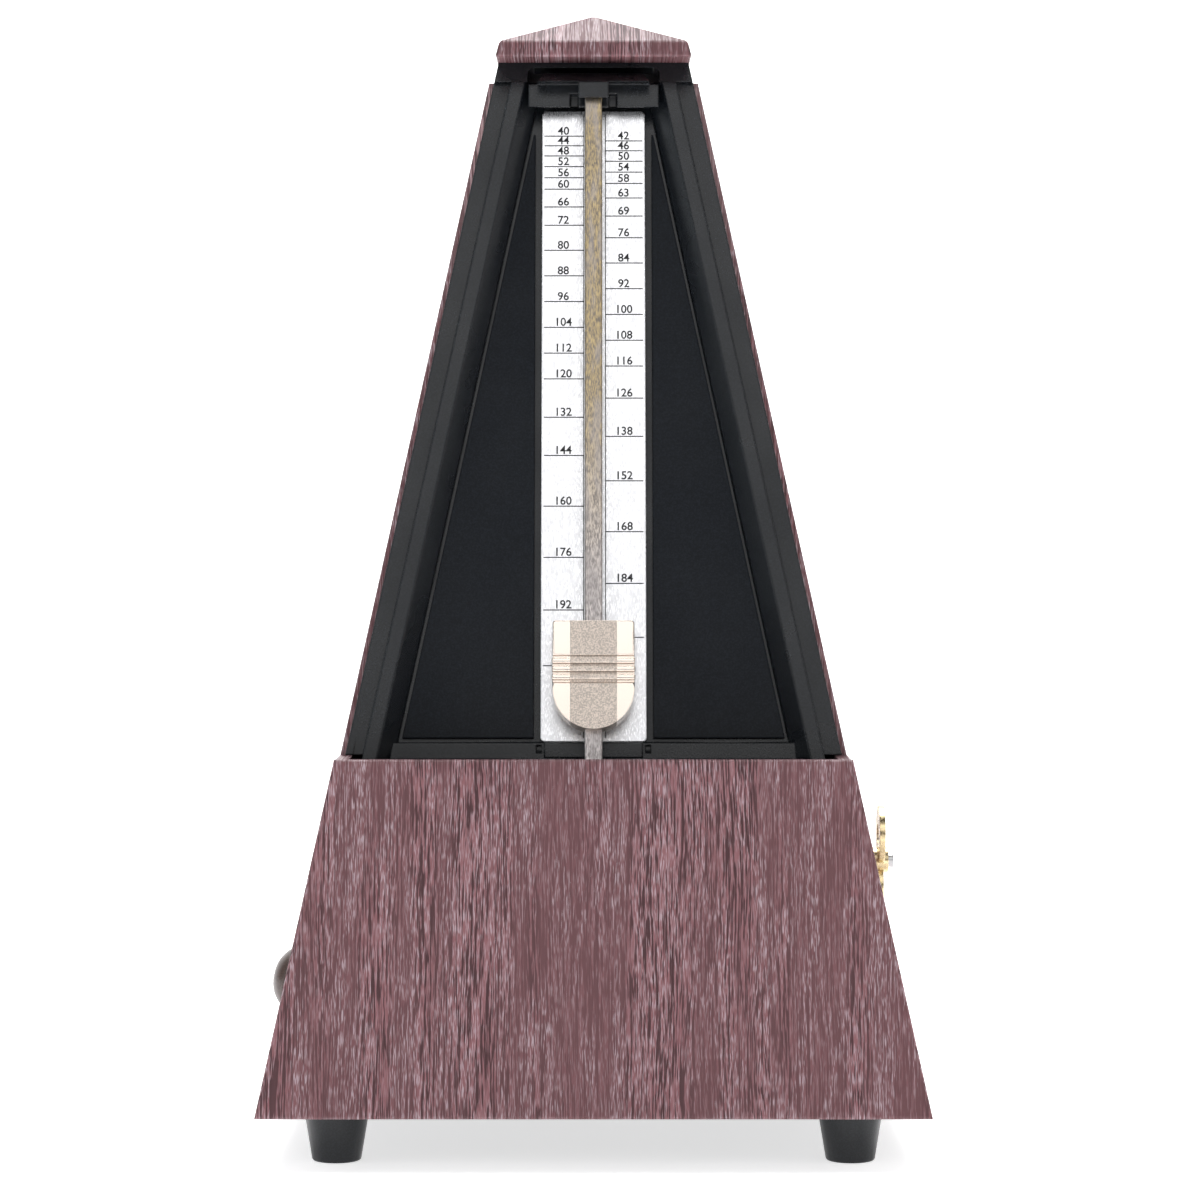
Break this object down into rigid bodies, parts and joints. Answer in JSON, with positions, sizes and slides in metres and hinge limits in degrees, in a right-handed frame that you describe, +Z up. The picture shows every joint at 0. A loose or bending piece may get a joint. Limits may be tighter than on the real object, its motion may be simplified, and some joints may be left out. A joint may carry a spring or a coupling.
{
  "type": "metronome",
  "caption": "Pyramid-shaped clockwork metronome with a swinging pendulum, sliding weight, tempo scale, winding key and beat selector.",
  "frame": {"origin": "on the floor, under the middle of the base", "axes": "+Z up, -Y out of the front with the scale, +X towards the winding key"},
  "size_m": [0.1157, 0.115, 0.2026],
  "materials": {
    "wood_grain": "dark red-brown moulded wood grain with raised streaks",
    "black_plastic": "fine spark-eroded black",
    "panel_black": "fine even grain, blue-black",
    "scale_metal": "brushed upright, black printed marks",
    "steel": "bright turned",
    "rod_steel": "drawn flat bar, slightly warm",
    "iron": "dull cast",
    "weight_nickel": "champagne nickel plate, satin front",
    "brass": "satin"
  },
  "bodies": {
    "case": {"casing": "wood_grain", "front_panel": "wood_grain", "bottom_plate": "black_plastic", "feet": "black_plastic", "foot_screws": "steel", "neck": "black_plastic", "cap": "wood_grain", "front_frame": "black_plastic", "left_inset_panel": "panel_black", "right_inset_panel": "panel_black", "scale_plate": "scale_metal", "scale_foot": "black_plastic", "ledge": "black_plastic", "rod_catch": "black_plastic", "key_bush": "brass", "left_movement_plate": "brass", "right_movement_plate": "brass", "pillars": "brass", "pillar_screws": "steel", "front_cock": "brass", "rear_cock": "brass", "escape_cock": "brass", "spring_stud": "steel", "mainspring": "steel", "brackets": "steel", "bracket_screws": "steel", "bell": "brass", "bell_post": "steel", "bell_nut": "steel"},
    "pendulum": {"pendulum_rod": "rod_steel", "pendulum_hub": "brass", "pendulum_arbor": "steel", "pallets": "steel", "counterweight": "iron"},
    "weight": {"sliding_weight": "weight_nickel", "weight_spring": "steel"},
    "key": {"winding_arbor": "steel", "ratchet_wheel": "steel", "winding_key": "brass"},
    "great": {"great_wheel": "brass", "click_stud": "steel"},
    "click": {"click": "steel"},
    "middle": {"middle_arbor": "steel", "middle_wheel": "brass"},
    "escape": {"escape_arbor": "steel", "crown_wheel": "brass"},
    "cams": {"cam_wheel": "brass", "cam_arbor": "steel"},
    "hammer": {"hammer": "steel", "hammer_head": "brass"},
    "selector": {"selector_rod": "steel", "selector_knob": "black_plastic"}
  },
  "joints": [
    {"name": "pendulum_swing", "type": "hinge", "parent": "case", "child": "pendulum", "pos_m": [0, -0.03998, 0.0565], "axis": [0, -0.9785, 0.2065], "range_deg": [-25, 25]},
    {"name": "weight_slide", "type": "slide", "parent": "pendulum", "child": "weight", "axis": [0, 0.2065, 0.9785], "range_m": [-0.0095, 0.0885]},
    {"name": "key_turn", "type": "hinge", "parent": "case", "child": "key", "pos_m": [0, 0.014, 0.0462], "axis": [1, 0, 0], "continuous": true},
    {"name": "great_turn", "type": "hinge", "parent": "case", "child": "great", "pos_m": [0, 0.014, 0.0462], "axis": [1, 0, 0], "continuous": true},
    {"name": "click_lift", "type": "hinge", "parent": "great", "child": "click", "pos_m": [0, 0.01065, 0.05535], "axis": [1, 0, 0], "range_deg": [0, 12], "stiffness_Nm_per_rad": 0.0005},
    {"name": "middle_turn", "type": "hinge", "parent": "case", "child": "middle", "pos_m": [0, -0.00739, 0.03721], "axis": [1, 0, 0], "continuous": true},
    {"name": "escape_turn", "type": "hinge", "parent": "case", "child": "escape", "pos_m": [0, -0.01943, 0.05216], "axis": [1, 0, 0], "continuous": true},
    {"name": "cams_turn", "type": "hinge", "parent": "case", "child": "cams", "pos_m": [0, 0.01227, 0.02344], "axis": [1, 0, 0], "continuous": true},
    {"name": "hammer_swing", "type": "hinge", "parent": "case", "child": "hammer", "pos_m": [0, 0.03, 0.026], "axis": [1, 0, 0], "range_deg": [-5, 12], "stiffness_Nm_per_rad": 0.002},
    {"name": "selector_slide", "type": "slide", "parent": "case", "child": "selector", "axis": [-1, 0, 0], "range_m": [0, 0.008]}
  ],
  "couplings": [
    {"joint": "great_turn", "follows": "middle_turn", "ratio": -0.20833},
    {"joint": "escape_turn", "follows": "middle_turn", "ratio": -5},
    {"joint": "cams_turn", "follows": "middle_turn", "ratio": -2}
  ]
}
